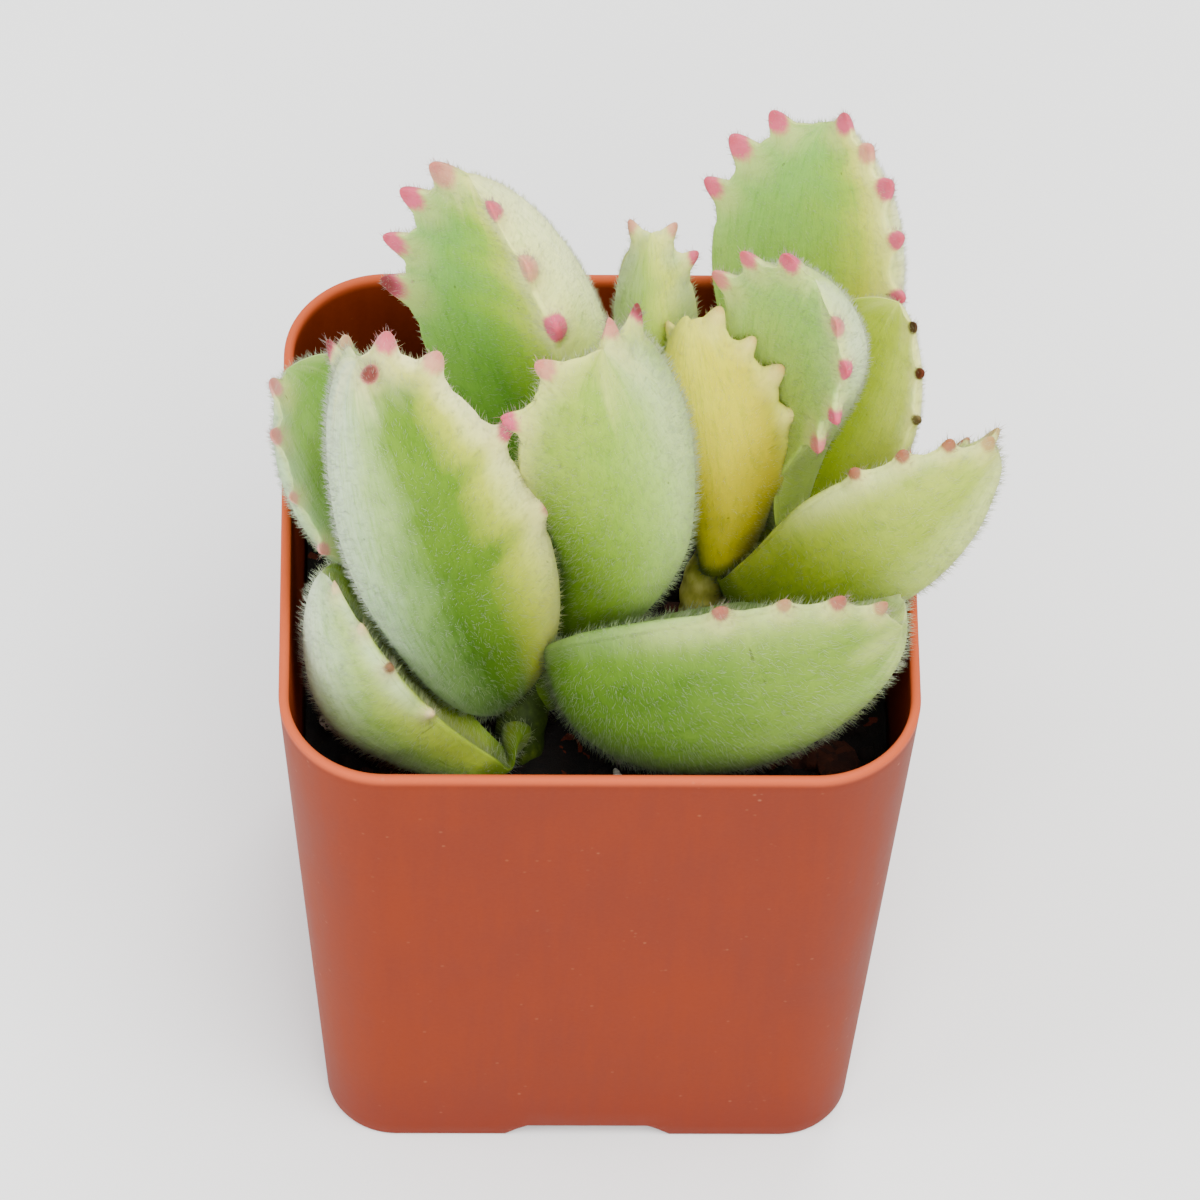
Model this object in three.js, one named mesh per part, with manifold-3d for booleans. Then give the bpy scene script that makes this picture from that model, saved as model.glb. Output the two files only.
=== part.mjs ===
// A variegated bear's paw succulent in its square nursery pot: pot, soil, two stems and twelve toothed leaves.
// Millimetres, +Z up. The pot stands on Z = 0 and its front faces -Y. Everything is placed from the pot's
// middle, and the finished pieces then move so that the whole plant's bounding box is centred on the Z axis.
import * as THREE from "three";
import { mergeVertices } from "three/addons/utils/BufferGeometryUtils.js";
import Module from "manifold-3d";

const wasm = await Module();
wasm.setup();

// The middle of the whole plant's bounding box, from the pot's middle.
const middle = { x: 2.9, y: 1 };

// Distance kept between pieces that touch.
const clearance = 0.3;

const pot = {
  height: 64,
  rimWidth: 57,
  footWidth: 49,
  rimCorner: 9.5,
  footCorner: 6.5,
  wall: 0.9,
  rimBevel: 0.25,
  floorTop: 2.7,
  floorBottom: 1.5,
  footRing: 1.6,
  notchWidth: 13.5,
  drainRadius: 3,
  drainSpread: 14,
};

const soil = {
  top: 48,
  lump: 0.7,
  rings: 7,
  crumbs: 46,
  crumbRadius: 0.85,
  crumbReach: 22,
};

const tooth = { radius: 1.2, height: 1.6, sunk: 1.4, sides: 6 };

// Each stem is a line of points on its axis with the radius there, from its buried end to its tip.
const stems = {
  stem_left: [
    { at: [-7, -13, 36], radius: 1.9 },
    { at: [-7, -13, 48], radius: 2.3 },
    { at: [-6, -8.5, 51.5], radius: 2.2 },
    { at: [-4.5, -4.5, 55], radius: 2 },
    { at: [-3, -0.5, 58.5], radius: 1.5 },
  ],
  stem_right: [
    { at: [10, 1, 36], radius: 1.9 },
    { at: [10, 1.5, 48], radius: 2.3 },
    { at: [10.5, 2.5, 53], radius: 2.2 },
    { at: [13.5, 4.5, 58], radius: 2 },
    { at: [15, 5.5, 62], radius: 1.4 },
  ],
};

// A leaf runs from root to tip with its upper face turned towards faces. bow arches it away from that face,
// sway bends it sideways, and cup lifts its two edges. stalk is where its short stalk leaves the stem.
// right and left are where its teeth stand on each edge, as fractions of the way to the tip, for an eye
// that looks at the upper face with the tip up, and teeth scales them. Some leaves have their own widest
// or deepest place and bluntness instead of the general ones in leafForm. The first leaves keep their form,
// and later ones yield to them.
const leaves = {
  leaf_front_centre: {
    root: [-2.4, -5, 55],
    tip: [-0.3, -6.5, 97],
    stalk: [-4.5, -4.5, 55],
    faces: [-0.6, 0.75, 0.3],
    width: 15.5,
    thick: 13,
    bow: 2.5,
    sway: -1.8,
    cup: 1.5,
    teeth: 0.95,
    widest: 1.75,
    widthBlunt: 0.5,
    right: [0.8, 0.95],
    left: [0.93, 0.995],
  },
  leaf_front_left: {
    root: [-8, -9, 50.5],
    tip: [-21.5, -3.5, 92],
    stalk: [-6, -8.5, 51.5],
    faces: [0.3, 0.8, 0.4],
    width: 18,
    thick: 12.5,
    bow: 3.5,
    sway: -2,
    cup: 2.4,
    teeth: 1,
    widest: 1.2,
    widthBlunt: 0.48,
    deepest: 0.95,
    depthBlunt: 0.45,
    right: [0.7, 0.9],
    left: [0.57, 0.76, 0.935, 0.99],
  },
  leaf_front_right: {
    root: [-2.5, -9, 52.8],
    tip: [26.5, -16, 70],
    stalk: [-6.5, -10.5, 50],
    faces: [0, 0.72, 0.69],
    width: 20,
    thick: 14,
    bow: 2.2,
    sway: 1.5,
    cup: 2,
    teeth: 0.75,
    widest: 0.8,
    widthBlunt: 0.42,
    deepest: 0.85,
    depthBlunt: 0.42,
    right: [0.65, 0.8, 0.91, 0.98],
    left: [0.68, 0.81, 0.92],
  },
  leaf_right_low: {
    root: [13.5, -2, 56],
    tip: [35, -3.5, 78.5],
    stalk: [12, 3.5, 55.5],
    faces: [-0.2, 0.8, 0.6],
    width: 12,
    thick: 10.5,
    bow: 1.5,
    sway: 2.5,
    cup: 1.5,
    teeth: 0.65,
    right: [0.7, 0.83, 0.93, 0.99],
    left: [0.66, 0.8, 0.92],
  },
  leaf_yellow: {
    root: [11.5, 1, 57.5],
    tip: [8, 8.5, 82.5],
    stalk: [12.5, 4, 56.5],
    faces: [0.4, 0.8, 0.4],
    width: 12,
    thick: 7.5,
    bow: 2,
    sway: -2.5,
    cup: 1,
    teeth: 0.75,
    right: [0.72, 0.86],
    left: [0.66, 0.8, 0.9, 0.98],
  },
  leaf_inner_right: {
    root: [16.2, 2.5, 61.5],
    tip: [18.6, 6, 91.5],
    stalk: [15, 5.5, 61],
    faces: [-0.75, -0.6, 0.2],
    width: 15,
    thick: 9.3,
    bow: 1.5,
    sway: -0.6,
    cup: 1.5,
    teeth: 0.9,
    widest: 2.6,
    widthBlunt: 0.5,
    deepest: 0.9,
    right: [0.55, 0.7, 0.86, 0.95],
    left: [0.8, 0.92, 0.99],
  },
  leaf_low_left: {
    root: [-9.6, -18, 51.2],
    tip: [-24.8, -8, 66.8],
    stalk: [-7, -13, 50],
    faces: [0.35, 0.5, 0.78],
    width: 16,
    thick: 9,
    bow: 3,
    sway: 0.5,
    cup: 1,
    teeth: 0.6,
    right: [0.6, 0.78, 0.92],
    left: [0.4, 0.64, 0.8, 0.94],
  },
  leaf_back_left: {
    root: [-1, 1, 57],
    tip: [-11.5, 13.5, 96],
    stalk: [-3, -0.5, 58],
    faces: [-0.72, -0.68, 0.2],
    width: 19.5,
    thick: 10.5,
    bow: 1,
    sway: 0.5,
    cup: 1.5,
    teeth: 1.15,
    right: [0.74, 0.86, 0.96],
    left: [0.7, 0.81, 0.93, 0.99],
  },
  leaf_left_edge: {
    root: [-8.5, -4, 52],
    tip: [-28, 8.5, 75],
    stalk: [-5.5, -6.5, 53],
    faces: [0.6, -0.4, 0.7],
    width: 18.5,
    thick: 7.5,
    bow: 1.5,
    sway: -0.5,
    cup: 1.5,
    teeth: 0.75,
    right: [0.65, 0.8, 0.92],
    left: [0.6, 0.76, 0.9, 0.98],
  },
  leaf_back_right: {
    root: [20, 8, 57.5],
    tip: [20.5, 28, 86.5],
    stalk: [14, 5, 58.5],
    faces: [-0.5, -0.8, 0.2],
    width: 19,
    thick: 10,
    bow: 2.5,
    sway: -1.5,
    cup: 1,
    teeth: 1,
    right: [0.58, 0.73, 0.85, 0.93, 0.985],
    left: [0.77, 0.88, 0.96],
  },
  leaf_small_back: {
    root: [6, 6.5, 59],
    tip: [4.5, 17.5, 83.5],
    stalk: [13, 4.5, 57],
    faces: [0.1, 1, 0.3],
    width: 7.5,
    thick: 6.5,
    bow: 1,
    sway: 0.3,
    cup: 1,
    teeth: 0.65,
    right: [0.97],
    left: [0.86, 0.97],
  },
  leaf_far_right: {
    root: [16, 2.5, 55.5],
    tip: [26.5, 10.5, 82.5],
    stalk: [12.5, 3.5, 56],
    faces: [-0.6, -0.6, 0.5],
    width: 15,
    thick: 5,
    bow: 0.5,
    sway: 0.5,
    cup: 1,
    teeth: 0.5,
    right: [0.62, 0.76, 0.88, 0.97],
    left: [0.7, 0.86],
  },
};

// How full a leaf is along its length: where it is widest, how blunt its ends are, and how thick its foot is.
const leafForm = {
  widest: 1.45,
  widthBlunt: 0.56,
  deepest: 1.12,
  depthBlunt: 0.55,
  footRadius: 2.4,
  footEnd: 0.28,
  edgeRise: 0.3,
  lip: 0.16,
  hollow: 0.22,
  rings: 13,
  sides: 14,
};

const stalk = { radius: 1.6, end: 0.1, sides: 8 };

const materials = {
  pot: { color: 0xb8603f, roughness: 0.5 },
  soil: { color: 0x33241b, roughness: 0.95 },
  stem: { color: 0x9fa36f, roughness: 0.7 },
  leaf: { color: 0xa3bd7c, roughness: 0.75 },
  leaf_yellow: { color: 0xcfca63, roughness: 0.75 },
};

const vector = (p) => new THREE.Vector3(...p);

// Repeatable random numbers between 0 and 1.
let seed = 7;
function random() {
  seed = (seed * 16807) % 2147483647;
  return seed / 2147483647;
}

// A closed surface through rings of points, each running anticlockwise for an eye beyond the last ring.
// The single points start and end close it.
function skin(start, rings, end) {
  const count = rings[0].length;
  const points = [start, ...rings.flat(), end];
  const last = points.length - 1;
  const index = [];
  for (let i = 0; i < count; i++) {
    const j = (i + 1) % count;
    index.push(0, 1 + j, 1 + i);
    for (let k = 0; k < rings.length - 1; k++) {
      const low = 1 + k * count;
      const high = low + count;
      index.push(low + i, low + j, high + i);
      index.push(low + j, high + j, high + i);
    }
    index.push(last - count + i, last - count + j, last);
  }
  return new THREE.BufferGeometry().setFromPoints(points).setIndex(index);
}

// A closed geometry as a solid, moved outwards by growth if that is given.
function solid(geometry, growth = 0) {
  const bare = geometry.clone();
  bare.deleteAttribute("uv");
  bare.deleteAttribute("normal");
  const merged = mergeVertices(bare, 1e-4);
  const position = merged.attributes.position;
  if (growth > 0) {
    merged.computeVertexNormals();
    const normal = merged.attributes.normal;
    for (let i = 0; i < position.array.length; i++) {
      position.array[i] += growth * normal.array[i];
    }
  }
  return new wasm.Manifold(
    new wasm.Mesh({
      numProp: 3,
      vertProperties: position.array,
      triVerts: new Uint32Array(merged.index.array),
    })
  );
}

// The biggest of a solid's separate bodies.
function mainBody(body) {
  const bodies = body.decompose();
  return bodies.reduce((a, b) => (a.volume() > b.volume() ? a : b));
}

function meshOf(name, body, look) {
  const made = body.getMesh();
  const geometry = new THREE.BufferGeometry();
  geometry.setAttribute("position", new THREE.BufferAttribute(made.vertProperties, 3));
  geometry.setIndex(new THREE.BufferAttribute(made.triVerts, 1));
  geometry.translate(-middle.x, -middle.y, 0);
  geometry.computeVertexNormals();
  const mesh = new THREE.Mesh(geometry, new THREE.MeshStandardMaterial(look));
  mesh.name = name;
  return mesh;
}

// A ring of points on a square with round corners, anticlockwise from above.
function roundedSquare(half, corner, z, steps = 6) {
  const points = [];
  for (let quarter = 0; quarter < 4; quarter++) {
    const sx = quarter === 0 || quarter === 3 ? 1 : -1;
    const sy = quarter < 2 ? 1 : -1;
    for (let step = 0; step <= steps; step++) {
      const angle = ((quarter + step / steps) * Math.PI) / 2;
      const x = sx * (half - corner) + corner * Math.cos(angle);
      const y = sy * (half - corner) + corner * Math.sin(angle);
      points.push(new THREE.Vector3(x, y, z));
    }
  }
  return points;
}

// The pot's outline at a height, drawn in by inset.
function potRing(z, inset) {
  const up = Math.min(z / pot.height, 1);
  const half = THREE.MathUtils.lerp(pot.footWidth, pot.rimWidth, up) / 2 - inset;
  const corner = THREE.MathUtils.lerp(pot.footCorner, pot.rimCorner, up) - inset;
  return roundedSquare(half, corner, z);
}

function buildPot() {
  const above = pot.height + 1;
  const outer = skin(
    new THREE.Vector3(0, 0, 0),
    [
      potRing(0, 0),
      potRing(pot.height - pot.rimBevel, 0),
      potRing(pot.height, pot.rimBevel),
    ],
    new THREE.Vector3(0, 0, pot.height)
  );
  const inner = skin(
    new THREE.Vector3(0, 0, pot.floorTop),
    [potRing(pot.floorTop, pot.wall), potRing(pot.height, pot.wall), potRing(above, pot.wall)],
    new THREE.Vector3(0, 0, above)
  );
  const under = skin(
    new THREE.Vector3(0, 0, -1),
    [potRing(-1, pot.footRing), potRing(pot.floorBottom, pot.footRing)],
    new THREE.Vector3(0, 0, pot.floorBottom)
  );
  let body = solid(outer).subtract(solid(inner)).subtract(solid(under));

  // The notches between the feet are one long slot with round ends from side to side, in both directions.
  const notch = new THREE.BoxGeometry(
    pot.notchWidth,
    pot.footWidth + 2,
    2 * pot.floorBottom
  );
  for (const turn of [0, Math.PI / 2]) {
    body = body.subtract(solid(notch.clone().rotateZ(turn)));
  }

  const drain = new THREE.CylinderGeometry(pot.drainRadius, pot.drainRadius, 8, 16);
  drain.rotateX(Math.PI / 2);
  const s = pot.drainSpread;
  for (const [x, y] of [[0, 0], [s, s], [-s, s], [-s, -s], [s, -s]]) {
    body = body.subtract(solid(drain.clone().translate(x, y, pot.floorTop)));
  }
  return body;
}

// The height of the soil's uneven top at a place.
function soilHeight(x, y) {
  const wave = Math.sin(0.55 * x + 1.3) * Math.cos(0.48 * y - 0.4);
  const ripple = Math.sin(1.1 * x - 0.7 * y + 2.1);
  return soil.top + soil.lump * (0.7 * wave + 0.3 * ripple);
}

function buildSoil(stemHoles) {
  const gap = pot.wall + clearance;
  const bottom = pot.floorTop + clearance;
  const edge = potRing(soil.top, gap);
  const rings = [potRing(bottom, gap)];
  for (let k = 0; k < soil.rings; k++) {
    const inwards = 1 - k / soil.rings;
    rings.push(
      edge.map((p) => {
        const x = p.x * inwards;
        const y = p.y * inwards;
        return new THREE.Vector3(x, y, soilHeight(x, y));
      })
    );
  }
  const middle = new THREE.Vector3(0, 0, soilHeight(0, 0));
  let body = solid(skin(new THREE.Vector3(0, 0, bottom), rings, middle));

  for (let i = 0; i < soil.crumbs; i++) {
    const x = (2 * random() - 1) * soil.crumbReach;
    const y = (2 * random() - 1) * soil.crumbReach;
    const radius = soil.crumbRadius * (0.6 + 0.8 * random());
    const crumb = new THREE.IcosahedronGeometry(radius);
    crumb.rotateX(3 * random()).rotateZ(3 * random());
    crumb.translate(x, y, soilHeight(x, y) + 0.1 * radius);
    body = body.add(solid(crumb));
  }
  for (const hole of stemHoles) body = body.subtract(hole);
  return mainBody(body);
}

// A round solid of flat sides around a line of stations, each with a place and a radius.
// Its two ends are domed by a point beyond the last station.
function roundBody(stations, sides) {
  const places = stations.map((s) => vector(s.at));
  const rings = stations.map((station, k) => {
    const before = places[Math.max(k - 1, 0)];
    const after = places[Math.min(k + 1, places.length - 1)];
    const along = after.clone().sub(before).normalize();
    const across = new THREE.Vector3(0.3, 1, 0.1).cross(along).normalize();
    const third = along.clone().cross(across);
    const ring = [];
    for (let i = 0; i < sides; i++) {
      const angle = (i / sides) * 2 * Math.PI;
      const out = across.clone().multiplyScalar(Math.cos(angle) * station.radius);
      out.addScaledVector(third, Math.sin(angle) * station.radius);
      ring.push(out.add(places[k]));
    }
    return ring;
  });
  const beyond = (from, to, reach) =>
    to.clone().addScaledVector(to.clone().sub(from).normalize(), reach);
  const last = stations.length - 1;
  const start = beyond(places[1], places[0], 0.4 * stations[0].radius);
  const end = beyond(places[last - 1], places[last], 0.6 * stations[last].radius);
  return skin(start, rings, end);
}

// The directions that a leaf's form is laid out in: along it, up from its upper face, and to its right.
function leafFrame(leaf) {
  const root = vector(leaf.root);
  const chord = vector(leaf.tip).sub(root);
  const along = chord.clone().normalize();
  const up = vector(leaf.faces);
  up.addScaledVector(along, -up.dot(along)).normalize();
  const right = along.clone().cross(up);
  return { root, chord, along, up, right };
}

// A point of the leaf's skin: s runs from 0 at the root to 1 at the tip, and angle goes round the section,
// with 0 at the right edge, a quarter turn at the upper face and a half turn at the left edge.
function leafPoint(leaf, frame, s, angle) {
  const form = { ...leafForm, ...leaf };
  const foot =
    form.footRadius *
    Math.sqrt(Math.max(1 - s / form.footEnd, 0)) *
    Math.sqrt(Math.min(s / 0.02, 1));
  const blade = Math.sin(Math.PI * s ** form.widest) ** form.widthBlunt;
  const depth = Math.sin(Math.PI * s ** form.deepest) ** form.depthBlunt;
  const half = Math.hypot((leaf.width / 2) * blade, foot);
  const thick = Math.hypot(leaf.thick * depth, 2 * foot);
  const arch = 4 * s * (1 - s);
  const bulge = Math.abs(Math.sin(angle));
  const side = Math.cos(angle);
  const face =
    Math.sin(angle) > 0
      ? thick * (form.lip * bulge ** 0.8 - form.hollow * bulge ** 2)
      : -thick * bulge ** 0.9;
  const cup = leaf.cup * side * side * Math.sin(Math.PI * s ** 1.6) ** 0.35;
  const height = face + form.edgeRise * thick + cup - leaf.bow * arch;
  return frame.root
    .clone()
    .addScaledVector(frame.chord, s)
    .addScaledVector(frame.right, half * side + leaf.sway * arch)
    .addScaledVector(frame.up, height);
}

function leafBlade(leaf, frame) {
  const { rings, sides } = leafForm;
  const outline = [];
  for (let k = 0; k < rings; k++) {
    const s = 0.5 - 0.5 * Math.cos((Math.PI * (k + 0.6)) / (rings + 0.2));
    const ring = [];
    for (let i = 0; i < sides; i++) {
      ring.push(leafPoint(leaf, frame, s, (-2 * Math.PI * i) / sides));
    }
    outline.push(ring);
  }
  return skin(vector(leaf.root), outline, vector(leaf.tip));
}

// A blunt tooth on the right or left edge, leaning outwards, towards the tip and a little to the upper face.
function leafTooth(leaf, frame, s, sign) {
  const edge = (t) => leafPoint(leaf, frame, t, sign > 0 ? 0 : Math.PI);
  const at = edge(s);
  const run = edge(Math.min(s + 0.01, 1)).sub(edge(s - 0.01)).normalize();
  const out = run.clone().cross(frame.up).multiplyScalar(sign);
  out.addScaledVector(frame.up, 0.45).addScaledVector(frame.along, 0.35).normalize();
  const station = (reach, radius) => ({
    at: at.clone().addScaledVector(out, reach * leaf.teeth).toArray(),
    radius: radius * leaf.teeth,
  });
  return roundBody(
    [
      station(-tooth.sunk, tooth.radius),
      station(0.2 * tooth.height, tooth.radius),
      station(0.75 * tooth.height, 0.6 * tooth.radius),
    ],
    tooth.sides
  );
}

// Everything that one leaf is fused from, each piece a closed geometry.
function leafPieces(leaf) {
  const frame = leafFrame(leaf);
  const inside = leafPoint(leaf, frame, stalk.end, -Math.PI / 2)
    .add(leafPoint(leaf, frame, stalk.end, Math.PI / 2))
    .multiplyScalar(0.5);
  const foot = vector(leaf.root).lerp(vector(leaf.stalk), 0.3);
  const pieces = [
    leafBlade(leaf, frame),
    roundBody(
      [
        { at: leaf.stalk, radius: stalk.radius },
        { at: foot.toArray(), radius: stalk.radius },
        { at: inside.toArray(), radius: stalk.radius },
      ],
      stalk.sides
    ),
  ];
  for (const s of leaf.right) pieces.push(leafTooth(leaf, frame, s, 1));
  for (const s of leaf.left) pieces.push(leafTooth(leaf, frame, s, -1));
  return pieces;
}

function fused(pieces, growth = 0) {
  return pieces.map((piece) => solid(piece, growth)).reduce((a, b) => a.add(b));
}

const plant = new THREE.Group();

const stemPieces = Object.entries(stems).map(([name, stations]) => [name, roundBody(stations, 10)]);
const taken = stemPieces.map(([, geometry]) => solid(geometry, clearance));
const potBody = buildPot();
const soilBody = buildSoil(taken);

plant.add(meshOf("pot", potBody, materials.pot));
plant.add(meshOf("soil", soilBody, materials.soil));
for (const [name, geometry] of stemPieces) {
  plant.add(meshOf(name, solid(geometry), materials.stem));
}

// Each leaf gives way to the stems and to the leaves before it, by the clearance.
for (const [name, leaf] of Object.entries(leaves)) {
  const pieces = leafPieces(leaf);
  let body = fused(pieces);
  for (const other of taken) body = body.subtract(other);
  body = mainBody(body);
  taken.push(fused(pieces, clearance));
  plant.add(meshOf(name, body, materials[name] ?? materials.leaf));
}

export default plant;
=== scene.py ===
import math

import bpy
import numpy as np
from mathutils import Matrix, Vector


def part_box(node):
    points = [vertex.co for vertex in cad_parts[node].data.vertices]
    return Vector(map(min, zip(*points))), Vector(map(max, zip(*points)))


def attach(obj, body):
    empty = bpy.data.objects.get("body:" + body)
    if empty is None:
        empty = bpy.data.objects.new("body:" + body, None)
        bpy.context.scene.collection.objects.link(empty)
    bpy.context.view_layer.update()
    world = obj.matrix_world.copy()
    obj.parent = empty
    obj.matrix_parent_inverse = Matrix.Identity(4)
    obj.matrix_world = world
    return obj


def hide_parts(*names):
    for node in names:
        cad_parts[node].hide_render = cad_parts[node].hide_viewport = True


# A variegated bear's paw in its square nursery pot. Lengths in the settings are millimetres from the pot's
# middle, and the meshes are in metres. The pot stands on Z = 0 and its front faces -Y.
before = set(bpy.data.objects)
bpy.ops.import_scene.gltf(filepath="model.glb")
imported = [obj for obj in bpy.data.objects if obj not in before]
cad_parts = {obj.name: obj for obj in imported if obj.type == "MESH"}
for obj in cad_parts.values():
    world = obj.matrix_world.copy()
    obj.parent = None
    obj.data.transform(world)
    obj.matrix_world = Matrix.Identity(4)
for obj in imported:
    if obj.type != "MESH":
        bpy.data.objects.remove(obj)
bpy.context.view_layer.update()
mm = 0.001
potLow, potHigh = (np.array(c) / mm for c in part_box("pot"))
middle = (potLow + potHigh) / 2 * (1, 1, 0)


# Camera: it looks down on the pot's front from about 54 degrees, with a long lens.
cameraSettings = dict(
    aim=(0.2, -5.84, 60.0), azimuth=-2.12, elevation=53.8, roll=1.93, distance=747.4,
    lens=249.7, sensor=36.0,
)


def cameraAxes(c):
    # The camera's right, up and back in the part's frame.
    azimuth, elevation, roll = (math.radians(c[k]) for k in ("azimuth", "elevation", "roll"))
    back = Vector((
        math.sin(azimuth) * math.cos(elevation),
        -math.cos(azimuth) * math.cos(elevation),
        math.sin(elevation),
    ))
    right = Vector((0, 0, 1)).cross(back).normalized()
    up = back.cross(right)
    turned = right * math.cos(roll) + up * math.sin(roll)
    return turned, up * math.cos(roll) - right * math.sin(roll), back


def addCamera(c):
    axes = cameraAxes(c)
    data = bpy.data.cameras.new("camera")
    data.lens = c["lens"]
    data.sensor_width = c["sensor"]
    data.clip_start = 0.05
    data.clip_end = 20
    camera = bpy.data.objects.new("camera", data)
    place = (Vector(c["aim"]) + Vector(middle) + axes[2] * c["distance"]) * mm
    camera.matrix_world = Matrix.Translation(place) @ Matrix(axes).transposed().to_4x4()
    bpy.context.scene.collection.objects.link(camera)
    bpy.context.scene.camera = camera


addCamera(cameraSettings)
print("camera ready")


# Light: a broad soft light from above, weaker ones from the front, the left and behind, and a pale room.
lightSettings = dict(
    room=(0.97, 0.985, 1.0), roomStrength=0.95,
    lights=[
        dict(name="main_light", at=(190, -260, 640), size=480, power=6.8, colour=(1.0, 0.985, 0.95)),
        dict(name="front_light", at=(-90, -520, 440), size=380, power=2.8, colour=(1.0, 0.99, 0.97)),
        dict(name="left_light", at=(-560, -120, 330), size=380, power=3.2, colour=(0.93, 0.97, 1.0)),
        dict(name="back_light", at=(160, 560, 420), size=420, power=4.0, colour=(1.0, 1.0, 0.98)),
    ],
)


def addLights(settings):
    world = bpy.data.worlds.new("room")
    world.use_nodes = True
    shade = world.node_tree.nodes["Background"]
    shade.inputs["Color"].default_value = (*settings["room"], 1)
    shade.inputs["Strength"].default_value = settings["roomStrength"]
    bpy.context.scene.world = world
    target = Vector((0, 0, 60)) * mm
    for one in settings["lights"]:
        data = bpy.data.lights.new(one["name"], "AREA")
        data.size = one["size"] * mm
        data.energy = one["power"]
        data.color = one["colour"]
        light = bpy.data.objects.new(one["name"], data)
        light.location = Vector(one["at"]) * mm
        light.rotation_euler = (target - light.location).to_track_quat("-Z", "Y").to_euler()
        bpy.context.scene.collection.objects.link(light)


addLights(lightSettings)
print("light ready")


def paint(code, power=3.6, vivid=0.0):
    # A web colour as it should look in the picture, as linear red, green and blue. The usual curve is
    # ((c + 0.055) / 1.055) ^ 2.4. The picture's tone curve greys bright colours, so the power is higher, and
    # vivid deepens yellows and greens: blue is scaled by (blue / the highest) ^ vivid.
    red, green, blue = (((int(code[i:i + 2], 16) / 255 + 0.055) / 1.055) ** power for i in (0, 2, 4))
    return red, green, blue * (blue / max(red, green, blue)) ** vivid


def leafPaint(code):
    return paint(code, 3.5, 0.25)


class Wire:
    # A socket of a material. Arithmetic on it adds Math nodes and gives the result's socket.
    def __init__(self, maker, socket):
        self.maker, self.socket = maker, socket

    def math(self, operation, *values):
        return self.maker.add("ShaderNodeMath", dict(operation=operation), dict(enumerate(values)))

    def __add__(self, other):
        return self.math("ADD", self, other)

    __radd__ = __add__

    def __sub__(self, other):
        return self.math("SUBTRACT", self, other)

    def __rsub__(self, other):
        return self.math("SUBTRACT", other, self)

    def __mul__(self, other):
        return self.math("MULTIPLY", self, other)

    __rmul__ = __mul__

    def step(self, low, high):
        # 0 at low and 1 at high, smooth between
        return self.maker.add(
            "ShaderNodeMapRange", dict(interpolation_type="SMOOTHSTEP"),
            {"Value": self, "From Min": low, "From Max": high},
        )


class Maker:
    # One material and its nodes.
    def __init__(self, name):
        self.material = bpy.data.materials.new(name)
        self.material.use_nodes = True
        self.tree = self.material.node_tree
        self.tree.nodes.clear()

    def add(self, kind, settings, sockets, output=0):
        node = self.tree.nodes.new(kind)
        for key, value in settings.items():
            if key == "stops":
                ramp = node.color_ramp
                while len(ramp.elements) < len(value):
                    ramp.elements.new(0.5)
                for element, (place, colour) in zip(ramp.elements, value):
                    element.position = place
                    element.color = (*colour, 1)
            else:
                setattr(node, key, value)
        for key, value in sockets.items():
            if isinstance(value, Wire):
                self.tree.links.new(value.socket, node.inputs[key])
            else:
                node.inputs[key].default_value = value
        return Wire(self, node.outputs[output])

    def place(self):
        return self.add("ShaderNodeTexCoord", {}, {}, "Object")

    def attribute(self, name, output="Fac"):
        return self.add("ShaderNodeAttribute", dict(attribute_name=name), {}, output)

    def uv(self, name):
        return self.add("ShaderNodeUVMap", dict(uv_map=name), {})

    def times(self, vector, factors):
        return self.add("ShaderNodeVectorMath", dict(operation="MULTIPLY"), {0: vector, 1: factors})

    def noise(self, vector, scale, detail=2.0, rough=0.5):
        return self.add(
            "ShaderNodeTexNoise", {},
            {"Vector": vector, "Scale": scale, "Detail": detail, "Roughness": rough},
        )

    def cells(self, vector, scale, output="Distance"):
        return self.add("ShaderNodeTexVoronoi", {}, {"Vector": vector, "Scale": scale}, output)

    def ramp(self, value, stops):
        return self.add("ShaderNodeValToRGB", dict(stops=stops), {"Fac": value})

    def mix(self, factor, a, b, blend="MIX"):
        colour = [v if isinstance(v, Wire) else (*v, 1) for v in (a, b)]
        return self.add(
            "ShaderNodeMix", dict(data_type="RGBA", blend_type=blend),
            {0: factor, 6: colour[0], 7: colour[1]}, 2,
        )

    def bump(self, height, strength, distance, under=None):
        sockets = {"Height": height, "Strength": strength, "Distance": distance}
        if under is not None:
            sockets["Normal"] = under
        return self.add("ShaderNodeBump", {}, sockets)

    def finish(self, sockets):
        shader = self.add("ShaderNodeBsdfPrincipled", {}, sockets)
        self.tree.links.new(shader.socket, self.tree.nodes.new("ShaderNodeOutputMaterial").inputs["Surface"])
        return self.material


# Meshes

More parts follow.
